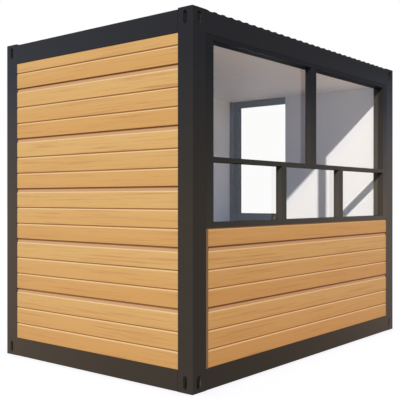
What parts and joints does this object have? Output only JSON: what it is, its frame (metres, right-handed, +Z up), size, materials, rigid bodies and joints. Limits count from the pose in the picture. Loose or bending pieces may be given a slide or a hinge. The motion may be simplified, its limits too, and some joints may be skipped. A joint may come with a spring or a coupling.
{
  "type": "container cabin",
  "caption": "Steel-framed container cabin with horizontal timber-look siding, a wide glazed service window, a corrugated roof and a half-glazed end door.",
  "frame": {"origin": "middle of the base, on the ground under the frame", "axes": "+X along the long walls towards the door end, +Y towards the back wall away from the service window, +Z up"},
  "size_m": [3.03, 1.97, 2.5],
  "materials": {
    "frame_steel": "dark grey satin paint",
    "joinery": "dark grey satin paint",
    "siding": "honey-coloured boards, fine straight grain, satin",
    "wall_core": "insulating foam core, matt",
    "lining": "white lining board, matt",
    "glass": "clear float glass",
    "floor_boards": "brown wood-look floor boards",
    "roof_steel": "dark grey coated corrugated steel",
    "handle_metal": "brushed aluminium"
  },
  "bodies": {
    "cabin": {"bottom_rail_front": "frame_steel", "bottom_rail_back": "frame_steel", "bottom_rail_left": "frame_steel", "bottom_rail_right": "frame_steel", "top_rail_front": "frame_steel", "top_rail_back": "frame_steel", "top_rail_left": "frame_steel", "top_rail_right": "frame_steel", "post_front_left": "frame_steel", "post_front_right": "frame_steel", "post_back_left": "frame_steel", "post_back_right": "frame_steel", "fitting_bottom_front_left": "frame_steel", "fitting_bottom_front_right": "frame_steel", "fitting_bottom_back_left": "frame_steel", "fitting_bottom_back_right": "frame_steel", "fitting_top_front_left": "frame_steel", "fitting_top_front_right": "frame_steel", "fitting_top_back_left": "frame_steel", "fitting_top_back_right": "frame_steel", "floor_joists": "frame_steel", "floor_deck": "floor_boards", "ceiling_panel": "lining", "roof_bows": "frame_steel", "roof_sheet": "roof_steel", "left_wall_core": "wall_core", "left_wall_siding": "siding", "left_wall_lining": "lining", "back_wall_core": "wall_core", "back_wall_siding": "siding", "back_wall_lining": "lining", "right_wall_core": "wall_core", "right_wall_siding": "siding", "right_wall_lining": "lining", "front_wall_core": "wall_core", "front_wall_siding": "siding", "front_wall_lining": "lining", "window_frame": "joinery", "window_glass": "glass", "door_frame": "joinery"},
    "door": {"door_leaf": "joinery", "door_glass": "glass", "door_kick_panel": "joinery", "door_handle": "handle_metal"}
  },
  "joints": [
    {"name": "door_hinge", "type": "hinge", "parent": "cabin", "child": "door", "pos_m": [1.4815, 0.8405, 1.24], "axis": [0, 0, 1], "range_deg": [0, 100]}
  ]
}
